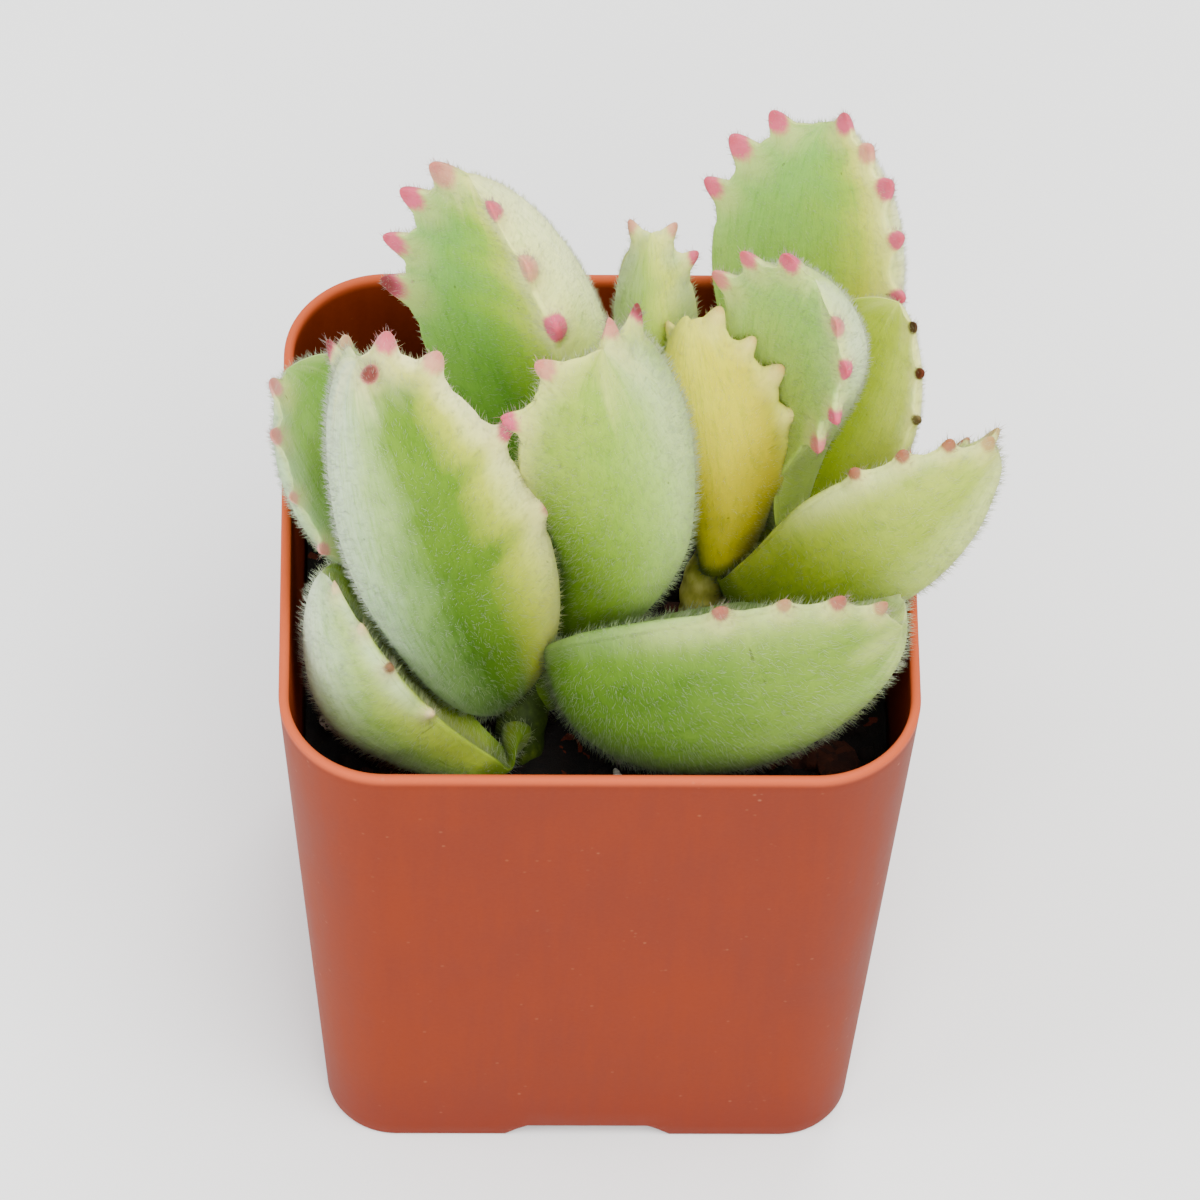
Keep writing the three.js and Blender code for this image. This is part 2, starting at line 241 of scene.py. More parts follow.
def addMesh(name, points, faces, material, uv=None, attributes=None, normals=None):
    # points is n x 3 in millimetres, faces a list of arrays of corners, one array for each number of sides.
    mesh = bpy.data.meshes.new(name)
    mesh.vertices.add(len(points))
    mesh.vertices.foreach_set("co", ((np.asarray(points, np.float64) + middle) * mm).ravel())
    corners = np.concatenate([f.ravel() for f in faces])
    sides = np.concatenate([np.full(len(f), f.shape[1]) for f in faces])
    starts = np.concatenate([[0], np.cumsum(sides)[:-1]])
    mesh.loops.add(len(corners))
    mesh.loops.foreach_set("vertex_index", corners.astype(np.int32))
    mesh.polygons.add(len(sides))
    mesh.polygons.foreach_set("loop_start", starts.astype(np.int32))
    mesh.update(calc_edges=True)
    if uv is not None:
        layer = mesh.uv_layers.new(name="leafMm")
        layer.data.foreach_set("uv", uv[corners].astype(np.float32).ravel())
    for key, values in (attributes or {}).items():
        layer = mesh.attributes.new(key, "FLOAT", "POINT")
        layer.data.foreach_set("value", values.astype(np.float32).ravel())
    mesh.shade_smooth()
    mesh.validate()
    if normals is not None:
        mesh.normals_split_custom_set_from_vertices(normals)
    mesh.materials.append(material)
    piece = bpy.data.objects.new(name, mesh)
    bpy.context.scene.collection.objects.link(piece)
    return piece


def tubeFaces(rings, sides):
    # Faces of a closed skin: a pole, rings x sides points that run anticlockwise as seen from the far end,
    # and another pole.
    k, i = np.meshgrid(np.arange(rings - 1), np.arange(sides), indexing="ij")
    j = (i + 1) % sides
    low, high = 1 + k * sides, 1 + (k + 1) * sides
    quads = np.stack([low + i, low + j, high + j, high + i], -1).reshape(-1, 4)
    i = np.arange(sides)
    j = (i + 1) % sides
    last = rings * sides + 1
    start = np.stack([0 * i, 1 + j, 1 + i], -1)
    end = np.stack([last - sides + i, last - sides + j, 0 * i + last], -1)
    return [quads, np.concatenate([start, end])]


def unit(v):
    return v / np.maximum(np.linalg.norm(v, axis=-1, keepdims=True), 1e-12)


def wave(u, v, seed, count=7, low=0.15, high=0.6, length=4):
    # Soft unevenness: the mean of cosines of au + bv + c, with a, b and c drawn from the seed so that low to
    # high waves go into the length.
    draw = np.random.default_rng(seed)
    turn = draw.uniform(0, 2 * np.pi, count)
    rate = draw.uniform(low, high, count)
    shift = draw.uniform(0, 2 * np.pi, count)
    total = 0
    for t, r, c in zip(turn, rate, shift):
        total = total + np.cos(r * (np.cos(t) * u + np.sin(t) * v) * 2 * np.pi / length + c)
    return total / count


def lattice(x, y, cell, seed):
    # Value noise: random heights on a square lattice, joined by smooth steps.
    draw = np.random.default_rng(seed)
    size = 128
    heights = draw.uniform(-1, 1, (size, size))
    u, v = x / cell + size / 2, y / cell + size / 2
    i, j = np.floor(u).astype(int), np.floor(v).astype(int)
    fu, fv = u - i, v - j
    fu, fv = fu * fu * (3 - 2 * fu), fv * fv * (3 - 2 * fv)
    i, j = i % size, j % size
    i2, j2 = (i + 1) % size, (j + 1) % size
    near = heights[i, j] * (1 - fu) + heights[i2, j] * fu
    far = heights[i, j2] * (1 - fu) + heights[i2, j2] * fu
    return near * (1 - fv) + far * fv


# Pot

potSettings = dict(
    height=potHigh[2], rimWidth=potHigh[0] - potLow[0], footWidth=49.0, rimCorner=9.5, footCorner=6.5,
    wall=0.9, floorTop=2.7, floorBottom=1.5, floorInsets=(22.0, 12.0), footRing=1.6, footRound=0.45,
    footBend=0.12, soft=0.15, cove=((0.0, 0.6), (0.2, 0.15), (0.7, 0.0)), endBand=2.0,
    notchWidth=13.5, notchRound=1.2, notchFade=3.0, drainRadius=3.0, drainSpread=14.0, drillLength=8.0,
    drillMiddle=2.0, wallSteps=24, lipSteps=9, cornerSteps=22, sideSteps=34,
)


def squareRing(half, corner, steps, sideSteps):
    # A square with round corners, anticlockwise from above, as x and y.
    quarter = np.arange(steps + 1) / steps * np.pi / 2
    x, y = [], []
    flat = half - corner
    line = np.linspace(-flat, flat, sideSteps + 2)[1:-1]
    for k, (sx, sy) in enumerate([(1, 1), (-1, 1), (-1, -1), (1, -1)]):
        angle = quarter + k * np.pi / 2
        x.append(sx * flat + corner * np.cos(angle))
        y.append(sy * flat + corner * np.sin(angle))
        walk = [(-line, half), (-half, -line), (line, -half), (half, line)][k]
        x.append(np.broadcast_to(walk[0], line.shape))
        y.append(np.broadcast_to(walk[1], line.shape))
    return np.concatenate(x), np.concatenate(y)


def potSkin(p):
    # A profile of (inset, height) carried round the pot's outline, which widens evenly from foot to rim. It
    # goes from the middle of the underside over the foot, up the outside, over the round lip and down to the
    # floor. The foot's edge is lifted in the notches, by a ramp that fades out at the height of notchFade.
    wall, top, ring, soft = p["wall"], p["height"], p["footRing"], p["soft"]
    under, floor = p["floorBottom"], p["floorTop"]
    far, near = p["floorInsets"]
    profile = [(far, under), (near, under), (ring + 2 * soft, under), (ring, under - soft), (ring, soft),
               (ring - soft, 0.0), (p["footRound"], 0.0), (p["footBend"], p["footBend"]),
               (0.0, p["footRound"])]
    foot = range(4, len(profile))  # the points that a notch lifts
    for z in np.linspace(p["endBand"], top - p["endBand"], p["wallSteps"]):
        profile.append((0.0, z))
    lip = wall / 2
    for a in np.linspace(0, np.pi, p["lipSteps"]):
        profile.append((lip - lip * math.cos(a), top - lip + lip * math.sin(a)))
    for z in np.linspace(top - p["endBand"], floor + p["cove"][0][1], p["wallSteps"]):
        profile.append((wall, z))
    profile += [(wall + inset, floor + z) for inset, z in p["cove"][1:]]
    profile += [(near, floor), (far, floor)]
    rings = []
    for k, (inset, z) in enumerate(profile):
        up = min(max(z / top, 0), 1)
        half = (p["footWidth"] + (p["rimWidth"] - p["footWidth"]) * up) / 2 - inset
        corner = max(p["footCorner"] + (p["rimCorner"] - p["footCorner"]) * up - inset, 0.4)
        x, y = squareRing(half, corner, p["cornerSteps"], p["sideSteps"])
        height = np.full_like(x, z)
        if k in foot:
            away = np.minimum(np.abs(x), np.abs(y))
            rise = np.clip((p["notchWidth"] / 2 - away) / p["notchRound"] + 0.5, 0, 1)
            height = height + under * rise * (1 - z / p["notchFade"])
        rings.append(np.stack([x, y, height], -1))
    rings = np.array(rings)
    points = np.concatenate([[[0, 0, under]], rings.reshape(-1, 3), [[0, 0, floor]]])
    return points, tubeFaces(*rings.shape[:2])


def potMaterial():
    m = Maker("pot_plastic")
    place = m.place()
    z = m.add("ShaderNodeSeparateXYZ", {}, {0: place}, 2)
    cloud = m.noise(place, 60.0, 4.0, 0.55)
    grain = m.noise(place, 2600.0, 2.0, 0.6)
    fleck = m.cells(place, 900.0)
    # moulded streaks that run up the wall
    streak = m.noise(m.times(place, (900.0, 900.0, 60.0)), 1.0, 3.0, 0.6)
    tone = cloud * 0.5 + streak * 0.3 + grain * 0.2
    body = m.mix(tone.step(0.3, 0.7), paint("8f461d"), paint("9a4f24"))
    # darker at the foot, a painted highlight on the lip, and a little dust
    body = m.mix((1 - z.step(0.0005, 0.012)) * 0.35, body, paint("8e3e26"))
    lip = z.step(0.0628, 0.0639)
    body = m.mix(lip * 0.75, body, paint("d9805a"))
    dust = fleck.step(0.22, 0.06) * m.noise(place, 300.0).step(0.55, 0.75) * 0.35
    body = m.mix(dust, body, paint("c99a80"))
    rough = 0.42 + 0.2 * cloud + 0.1 * streak
    normal = m.bump(grain, 0.12, 0.00006)
    normal = m.bump(cloud, 0.2, 0.0004, normal)
    return m.finish({
        "Base Color": body, "Roughness": rough, "Normal": normal, "Specular IOR Level": 0.1,
    })


def addPot(p):
    points, faces = potSkin(p)
    pot = addMesh("pot_shell", points, faces, potMaterial())
    spread = p["drainSpread"]
    corners = [(spread, spread), (-spread, spread), (-spread, -spread), (spread, -spread)]
    for n, (x, y) in enumerate([(0, 0), *corners]):
        bpy.ops.mesh.primitive_cylinder_add(
            vertices=48, radius=p["drainRadius"] * mm, depth=p["drillLength"] * mm,
            location=(Vector((x, y, p["drillMiddle"])) + Vector(middle)) * mm)
        drill = bpy.context.object
        cut = pot.modifiers.new("drain_%d" % n, "BOOLEAN")
        cut.operation = "DIFFERENCE"
        cut.solver = "EXACT"
        cut.object = drill
        bpy.context.view_layer.objects.active = pot
        bpy.ops.object.modifier_apply(modifier=cut.name)
        bpy.data.objects.remove(drill, do_unlink=True)
    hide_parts("pot")
    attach(pot, "root")


addPot(potSettings)
print("pot ready")


# Soil

# The bed's top is lumpy, with two sizes of grain, and lifts a little against the wall. Lumps lie on it.
soilSettings = dict(
    top=48.0, lump=0.7, gap=1.2, bottom=3.0, lowGap=0.1, wallLift=0.4, liftFrom=0.9,
    grains=((0.32, 1.5, 3), (0.2, 0.55, 4)), rings=110, innermost=0.008, cornerSteps=20, sideSteps=44,
    # The bed's tones are near black: the soil's own dark brown, deepened as painted shade inside the pot.
    tones=("120d09", "2e2018"), reach=24.5, sink=0.25, knobs=(0.72, 1.12), stretch=1.3, tilt=0.5,
    lumps=dict(
        soil_crumbs=dict(
            # near-black crumbs: dark soil, deepened as painted shade like the bed
            count=620, size=0.62, spread=0.55, long=1.0, flat=1.0, seed=11, tones=("16100b", "3a271c")),
        soil_bark=dict(
            count=70, size=1.5, spread=0.5, long=1.5, flat=0.3, seed=12, tones=("341e13", "6a4028")),
        soil_perlite=dict(
            count=46, size=0.75, spread=0.5, long=1.0, flat=1.0, seed=13, tones=("b9b3a5", "e9e5da")),
    ),
)


def soilHeight(x, y, s):
    # The bed's broad shape: products of sines of x and y, with a slanting ripple on them.
    broad = np.sin(0.55 * x + 1.3) * np.cos(0.48 * y - 0.4)
    ripple = np.sin(1.1 * x - 0.7 * y + 2.1)
    return s["top"] + s["lump"] * (0.7 * broad + 0.3 * ripple)


def soilMaterial(name, tones, specks, scale):
    # Grains between a dark and a light tone, some of them reddish where specks is above 0.
    dark, light = (paint(code) for code in tones)
    m = Maker(name)
    place = m.place()
    grains = m.cells(place, scale, "Color")
    shade = m.add("ShaderNodeSeparateColor", {}, {0: grains}, 0)
    fine = m.noise(place, scale * 3, 4.0, 0.7)
    tone = m.mix(shade * 0.7 + fine * 0.3, dark, light)
    tone = m.mix(shade.step(0.93, 0.98) * specks, tone, paint("8a4a2a"))
    normal = m.bump(fine, 0.7, 0.0003)
    return m.finish({"Base Color": tone, "Roughness": 0.92, "Normal": normal, "Specular IOR Level": 0.25})


def lumps(kind, s):
    # Small uneven stones: an icosphere pushed in and out, stretched, turned, and laid on the soil's top.
    bpy.ops.mesh.primitive_ico_sphere_add(subdivisions=2, radius=1)
    ball = bpy.context.object
    shape = np.array([v.co[:] for v in ball.data.vertices])
    faces = np.array([p.vertices[:] for p in ball.data.polygons])
    bpy.data.objects.remove(ball, do_unlink=True)
    draw = np.random.default_rng(kind["seed"])
    count, spread = kind["count"], kind["spread"]
    x, y = draw.uniform(-s["reach"], s["reach"], (2, count))
    radius = kind["size"] * draw.uniform(1 - spread, 1 + spread, count)
    z = soilHeight(x, y, s) + s["sink"] * radius
    knobs = draw.uniform(*s["knobs"], (count, len(shape)))
    long = draw.uniform(1, s["stretch"], count) * kind["long"]
    stretch = np.stack([long, np.ones(count), kind["flat"] * np.ones(count)], -1)
    points = shape[None] * knobs[..., None] * (radius[:, None] * stretch)[:, None, :]
    a = draw.uniform(0, 2 * np.pi, count)
    tilt = draw.uniform(-s["tilt"], s["tilt"], count)
    px = points[..., 0] * np.cos(tilt)[:, None] + points[..., 2] * np.sin(tilt)[:, None]
    pz = points[..., 2] * np.cos(tilt)[:, None] - points[..., 0] * np.sin(tilt)[:, None]
    py = points[..., 1]
    points = np.stack([
        px * np.cos(a)[:, None] - py * np.sin(a)[:, None] + x[:, None],
        px * np.sin(a)[:, None] + py * np.cos(a)[:, None] + y[:, None],
        pz + z[:, None],
    ], -1)
    offsets = np.arange(count)[:, None, None] * len(shape)
    return points.reshape(-1, 3), [(faces[None] + offsets).reshape(-1, 3)]


def addSoil(s, p):
    # The bed fills the pot's outline less a gap: one ring at the bottom, then rings that shrink over its top
    # to the middle, where each point's height is the broad shape, the grains and the lift by the wall.
    up = s["top"] / p["height"]
    half = (p["footWidth"] + (p["rimWidth"] - p["footWidth"]) * up) / 2 - s["gap"]
    corner = p["footCorner"] + (p["rimCorner"] - p["footCorner"]) * up - s["gap"]
    edgeX, edgeY = squareRing(half, corner, s["cornerSteps"], s["sideSteps"])
    lowScale = (p["footWidth"] / 2 - s["gap"] + s["lowGap"]) / half
    rings = [np.stack([edgeX * lowScale, edgeY * lowScale, np.full_like(edgeX, s["bottom"])], -1)]
    for inwards in np.linspace(1, s["innermost"], s["rings"]):
        x, y = edgeX * inwards, edgeY * inwards
        z = soilHeight(x, y, s)
        for rise, cell, seed in s["grains"]:
            z = z + rise * lattice(x, y, cell, seed)
        z = z + s["wallLift"] * np.clip((inwards - s["liftFrom"]) / (1 - s["liftFrom"]), 0, 1)
        rings.append(np.stack([x, y, z], -1))
    rings = np.array(rings)
    top = [[0, 0, float(rings[-1, :, 2].mean())]]
    points = np.concatenate([[[0, 0, s["bottom"]]], rings.reshape(-1, 3), top])
    look = soilMaterial("potting_mix", s["tones"], 0.6, 900.0)
    bed = addMesh("soil_bed", points, tubeFaces(*rings.shape[:2]), look)
    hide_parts("soil")
    pieces = [bed]
    for name, kind in s["lumps"].items():
        points, faces = lumps(kind, s)
        look = soilMaterial(name + "_look", kind["tones"], 0.0, 1300.0)
        pieces.append(addMesh(name, points, faces, look))
    for piece in pieces:
        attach(piece, "root")


addSoil(soilSettings, potSettings)
print("soil ready")


# Stems

stemSettings = dict(
    stem_left=dict(
        line=[((-7, -13, 36), 1.9), ((-7, -13, 48), 2.3), ((-6, -8.5, 51.5), 2.2), ((-4.5, -4.5, 55), 2.0),
              ((-3, -0.5, 58.5), 1.5)],
        # dark olive: the stem's green, darkened as painted shade where it stands under the front leaves
        tones=("2f3a1b", "485828", "6c7a40"),
    ),
    stem_right=dict(
        line=[((10, 1, 36), 1.9), ((10, 1.5, 48), 2.3), ((10.5, 2.5, 53), 2.2), ((13.5, 4.5, 58), 2.0),
              ((15, 5.5, 62), 1.4)],
        tones=("b0b064", "cccb80", "e2e0a4"),
    ),
)


def curve(stations, count):
    # A smooth line through the stations: cubic pieces whose slopes are half the step across each station,
    # and at the ends the whole step beside it.
    knots = np.array([(*at, radius) for at, radius in stations], float)
    slopes = np.gradient(knots, axis=0)
    t = np.linspace(0, len(knots) - 1, count)
    i = np.minimum(t.astype(int), len(knots) - 2)
    f = (t - i)[:, None]
    a, b, c, d = knots[i], knots[i + 1], slopes[i], slopes[i + 1]
    ends = a * (1 + 2 * f) * (1 - f) ** 2 + b * f * f * (3 - 2 * f)
    return ends + c * f * (1 - f) ** 2 - d * f * f * (1 - f)


def stemMaterial(name, tones):
    m = Maker(name + "_look")
    place = m.place()
    cloud = m.noise(place, 500.0, 4.0, 0.6)
    fine = m.noise(m.times(place, (1500.0, 1500.0, 500.0)), 1.0, 3.0, 0.6)
    tone = m.ramp(cloud * 0.6 + fine * 0.4, [(p, leafPaint(c)) for p, c in zip((0.3, 0.5, 0.7), tones)])
    return m.finish({
        "Base Color": tone, "Roughness": 0.7, "Specular IOR Level": 0.15,
        "Normal": m.bump(fine, 0.3, 0.0001),
    })


def addStems(settings, sides=36, count=60):
    # Rings of the stem's radius carried along its line, with a low cone at each end.
    for name, one in settings.items():
        line = curve(one["line"], count)
        centre, radius = line[:, :3], line[:, 3]
        along = unit(np.gradient(centre, axis=0))
        across = unit(np.cross(np.array([0.3, 1, 0.1]), along))
        third = np.cross(along, across)
        angle = np.arange(sides) / sides * 2 * np.pi
        # rings of old leaf scars swell the stem a little
        swell = radius * (1 + 0.03 * np.cos(np.arange(count) * 0.9))
        out = across[:, None] * np.cos(angle)[None, :, None] + third[:, None] * np.sin(angle)[None, :, None]
        rings = centre[:, None] + out * swell[:, None, None]
        start = centre[:1] - along[:1] * 0.6
        end = centre[-1:] + along[-1:] * 0.8
        points = np.concatenate([start, rings.reshape(-1, 3), end])
        look = stemMaterial(name, one["tones"])
        stem = addMesh(name + "_skin", points, tubeFaces(count, sides), look)
        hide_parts(name)
        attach(stem, "root")


addStems(stemSettings)
print("stems ready")


# Leaves

# What the leaves share. widest and deepest place the widest and thickest part, widthBlunt and depthBlunt
# round the ends, footRadius and footEnd make the round foot, and edgeRise, lip and hollow the section.
# gather crowds the points at the edges, rounding is how often they are averaged, and dents and swellings are
# heights of the uneven skin.
leafForm = dict(
    widest=1.45, widthBlunt=0.56, deepest=1.12, depthBlunt=0.55, footRadius=2.4, footEnd=0.28,
    edgeRise=0.3, lip=0.16, hollow=0.22, stalkRadius=1.6,
    stalkRings=8, rings=112, sides=108, gather=0.34, rounding=44,
    dents=0.22, swellings=0.3,
)
# A tooth and the low swelling that it stands on. notch is how deep the skin dips beside it, the leans turn
# it up and to the tip, and sizes is how far chance changes its size. driedShare of the teeth are brown.
toothForm = dict(
    radius=1.4, height=1.75, blunt=2.2, sharp=1.2, baseRadius=3.0, baseHeight=0.75, notch=0.2,
    upLean=0.45, tipLean=0.35, faceLean=1.2, sizes=(0.85, 1.12), pink=0.6, brown=0.8,
    driedScale=0.75, driedShare=0.07,
)

# Every leaf runs from root to tip with its upper face towards faces; bow, sway and cup bend it. right and
# left place the teeth on each edge as fractions of the way to the tip, for an eye that looks at the upper
# face with the tip up, and teeth scales them. high and low are the colours across the leaf as the camera
# sees it, from its left to its right when the tip is up, near the tip and near the root. tipTone is the
# colour of the margin and the tip, toothTone that of the teeth where they aren't pink, and hair the mean
# length of the felt. Some leaves have values of their own in place of those in leafForm.
leafSettings = dict(
    leaf_front_centre=dict(
        root=(-2.4, -5, 55), tip=(-0.3, -6.5, 97), stalk=(-4.5, -4.5, 55), faces=(-0.6, 0.75, 0.3),
        width=15.5, thick=13, bow=2.5, sway=-1.8, cup=1.5, teeth=0.95, widest=1.75, widthBlunt=0.5,
        right=(0.8, 0.95), left=(0.93, 0.995),
        high=[(0.0, "c8d690"), (0.3, "b0c46c"), (0.6, "a6c068"), (0.85, "b4cc86"), (1.0, "ccdcb0")],
        low=[(0.0, "8aa840"), (0.2, "72942e"), (0.4, "86a544"), (0.7, "98b65e"), (1.0, "b8d094")],
        tipTone="dfe2a0", hair=0.9, seed=21,
    ),
    leaf_front_left=dict(
        root=(-8, -9, 50.5), tip=(-21.5, -3.5, 92), stalk=(-6, -8.5, 51.5), faces=(0.3, 0.8, 0.4),
        width=18, thick=12.5, bow=3.5, sway=-2, cup=2.4, teeth=1.0,
        widest=1.2, widthBlunt=0.48, deepest=0.95, depthBlunt=0.45, faceTeeth=((0.985, -2.35),),
        right=(0.7, 0.9), left=(0.57, 0.76, 0.935, 0.99),
        # the pale bluish start of high and low is painted rim light: the felt's glow along the camera's left
        # edge
        high=[(0.0, "ccdac4"), (0.16, "b8cc9c"), (0.4, "8aa854"), (0.62, "82a344"), (0.8, "c8d06c"),
              (0.91, "e8eab0"), (1.0, "f0f0cc")],
        low=[(0.0, "b4c8ac"), (0.2, "8ca878"), (0.42, "62843c"), (0.62, "7c9a46"), (0.78, "bcc660"),
             (0.9, "d6dc88"), (1.0, "dadfa0")],
        tipTone="ecebc4", hair=0.8, seed=22,
    ),
    leaf_front_right=dict(
        root=(-2.5, -9, 52.8), tip=(26.5, -16, 70), stalk=(-6.5, -10.5, 50), faces=(0, 0.72, 0.69),
        width=20, thick=14, bow=2.2, sway=1.5, cup=2, teeth=0.75,
        widest=0.8, widthBlunt=0.42, deepest=0.85, depthBlunt=0.42,
        right=(0.65, 0.8, 0.91, 0.98), left=(0.68, 0.81, 0.92),
        high=[(0.0, "c6d4a8"), (0.2, "a8bc78"), (0.5, "94ac62"), (0.8, "94ac62"), (1.0, "a8c080")],
        low=[(0.0, "a4bc88"), (0.25, "7e9e50"), (0.5, "72924a"), (0.8, "7c9a56"), (1.0, "98b274")],
        tipTone="d0d8a0", hair=0.95, toothTone="b98a78", seed=23,
    ),
    leaf_right_low=dict(
        root=(13.5, -2, 56), tip=(35, -3.5, 78.5), stalk=(12, 3.5, 55.5), faces=(-0.2, 0.8, 0.6),
        width=12, thick=10.5, bow=1.5, sway=2.5, cup=1.5, teeth=0.65,
        right=(0.7, 0.83, 0.93, 0.99), left=(0.66, 0.8, 0.92),
        high=[(0.0, "d4dca4"), (0.3, "bcc878"), (0.7, "b0bf6c"), (1.0, "ccd6a0")],
        low=[(0.0, "bcc66c"), (0.3, "a6b452"), (0.7, "98a848"), (1.0, "a8b86c")],
        tipTone="dce2b0", hair=0.85, toothTone="b58a6e", seed=24,
    ),
    leaf_yellow=dict(
        root=(11.5, 1, 57.5), tip=(8, 8.5, 82.5), stalk=(12.5, 4, 56.5), faces=(0.4, 0.8, 0.4),
        width=12, thick=7.5, bow=2, sway=-2.5, cup=1, teeth=0.75,
        right=(0.72, 0.86), left=(0.66, 0.8, 0.9, 0.98),
        high=[(0.0, "e8e67c"), (0.5, "dcd650"), (1.0, "d6ce5c")],
        low=[(0.0, "c6c03c"), (0.45, "ccc238"), (0.8, "b4aa2c"), (1.0, "a6a43c")],
        tipTone="ecec94", hair=0.6, toothTone="e3d890", seed=25,
    ),
    leaf_inner_right=dict(
        root=(16.2, 2.5, 61.5), tip=(18.6, 6, 91.5), stalk=(15, 5.5, 61), faces=(-0.75, -0.6, 0.2),
        width=15, thick=9.3, bow=1.5, sway=-0.6, cup=1.5, widest=2.6, widthBlunt=0.5, deepest=0.9, teeth=0.9,
        right=(0.55, 0.7, 0.86, 0.95), left=(0.8, 0.92, 0.99),
        high=[(0.0, "b6ce9a"), (0.25, "aac886"), (0.6, "a6c882"), (0.85, "bcd49a"), (1.0, "dae6c6")],
        low=[(0.0, "aabb60"), (0.3, "b2c274"), (0.6, "b6c87c"), (0.85, "c2d490"), (1.0, "d6e2be")],
        tipTone="d4e0a8", hair=0.65, seed=26,
    ),
    leaf_low_left=dict(
        root=(-9.6, -18, 51.2), tip=(-24.8, -8, 66.8), stalk=(-7, -13, 50), faces=(0.35, 0.5, 0.78),
        width=16, thick=9, bow=3, sway=0.5, cup=1, teeth=0.6,
        right=(0.6, 0.78, 0.92), left=(0.4, 0.64, 0.8, 0.94),
        # the pale bluish start of high and low is painted rim light: the felt's glow along the camera's left
        # edge
        high=[(0.0, "dce8d4"), (0.3, "c0d2ac"), (0.6, "b8ca7c"), (0.8, "bccc7c"), (1.0, "a0b468")],
        low=[(0.0, "b4c8a4"), (0.3, "a0b878"), (0.55, "b4c268"), (0.75, "acba60"), (1.0, "8ca454")],
        tipTone="d4e2c4", hair=0.85, toothTone="dcd0a6", seed=27,
    ),
    leaf_back_left=dict(
        root=(-1, 1, 57), tip=(-11.5, 13.5, 96), stalk=(-3, -0.5, 58), faces=(-0.72, -0.68, 0.2),
        width=19.5, thick=10.5, bow=1, sway=0.5, cup=1.5, teeth=1.15,
        right=(0.74, 0.86, 0.96), left=(0.7, 0.81, 0.93, 0.99),
        high=[(0.0, "a4c88c"), (0.3, "98c27a"), (0.5, "a8cc64"), (0.62, "d2de7c"), (0.75, "eaf0b4"),
              (1.0, "f0f4cc")],
        low=[(0.0, "94ba6c"), (0.35, "88b45e"), (0.55, "a8c84c"), (0.72, "bccf54"), (0.85, "ccdb7c"),
             (1.0, "c8da98")],
        tipTone="dfe2b0", hair=0.55, seed=28,
    ),
    leaf_left_edge=dict(
        root=(-8.5, -4, 52), tip=(-28, 8.5, 75), stalk=(-5.5, -6.5, 53), faces=(0.6, -0.4, 0.7),
        width=18.5, thick=7.5, bow=1.5, sway=-0.5, cup=1.5, teeth=0.75,
        right=(0.65, 0.8, 0.92), left=(0.6, 0.76, 0.9, 0.98),
        # the pale bluish start of high and low is painted rim light: the felt's glow along the camera's left
        # edge
        high=[(0.0, "c0d4b4"), (0.25, "a4c480"), (0.6, "8cb464"), (1.0, "a8c488")],
        low=[(0.0, "b0c8a0"), (0.2, "88a858"), (0.6, "70923c"), (1.0, "809e50")],
        tipTone="c4d4a0", hair=0.65, toothTone="d8a8a0", seed=29,
    ),
    leaf_back_right=dict(
        root=(20, 8, 57.5), tip=(20.5, 28, 86.5), stalk=(14, 5, 58.5), faces=(-0.5, -0.8, 0.2),
        width=19, thick=10, bow=2.5, sway=-1.5, cup=1, teeth=1.0,
        right=(0.58, 0.73, 0.85, 0.93, 0.985), left=(0.77, 0.88, 0.96),
        high=[(0.0, "accb90"), (0.12, "a0c684"), (0.5, "9cc47c"), (0.72, "aaca70"), (0.82, "dae07c"),
              (0.92, "eeeeac"), (1.0, "f2f6d4")],
        low=[(0.0, "acc67c"), (0.3, "a0c070"), (0.6, "b2c862"), (0.78, "dade68"), (0.9, "e6e894"),
             (1.0, "eaf0c0")],
        tipTone="ccd8a0", hair=0.55, seed=30,
    ),
    leaf_small_back=dict(
        root=(6, 6.5, 59), tip=(4.5, 17.5, 83.5), stalk=(13, 4.5, 57), faces=(0.1, 1, 0.3),
        width=7.5, thick=6.5, bow=1, sway=0.3, cup=1, teeth=0.65,
        right=(0.97,), left=(0.86, 0.97),
        high=[(0.0, "ccdcb4"), (0.3, "b8cc80"), (0.6, "d8e088"), (1.0, "d0dcb4")],
        low=[(0.0, "c0d4a4"), (0.35, "98bc5c"), (0.7, "9cc05c"), (1.0, "c4d4a4")],
        tipTone="e2e6a8", hair=0.6, seed=31,
    ),
    leaf_far_right=dict(
        root=(16, 2.5, 55.5), tip=(26.5, 10.5, 82.5), stalk=(12.5, 3.5, 56), faces=(-0.6, -0.6, 0.5),
        width=15, thick=5, bow=0.5, sway=0.5, cup=1, teeth=0.5,
        right=(0.62, 0.76, 0.88, 0.97), left=(0.7, 0.86),
        high=[(0.0, "b8c65c"), (0.6, "bcc85c"), (0.85, "d4dc88"), (1.0, "f0f2c4")],
        low=[(0.0, "a4b440"), (0.6, "a8b840"), (1.0, "d4da84")],
        tipTone="dce0a0", hair=0.5, toothTone="6e5a44", seed=32,
    ),
)


def leafFrame(leaf):
    # Unit directions along the leaf, up from its upper face and to its right, with the chord itself.
    root, tip, faces = (np.array(leaf[k], float) for k in ("root", "tip", "faces"))
    chord = tip - root
    along = unit(chord)
    up = unit(faces - along * (faces @ along))
    return root, chord, along, up, np.cross(along, up)


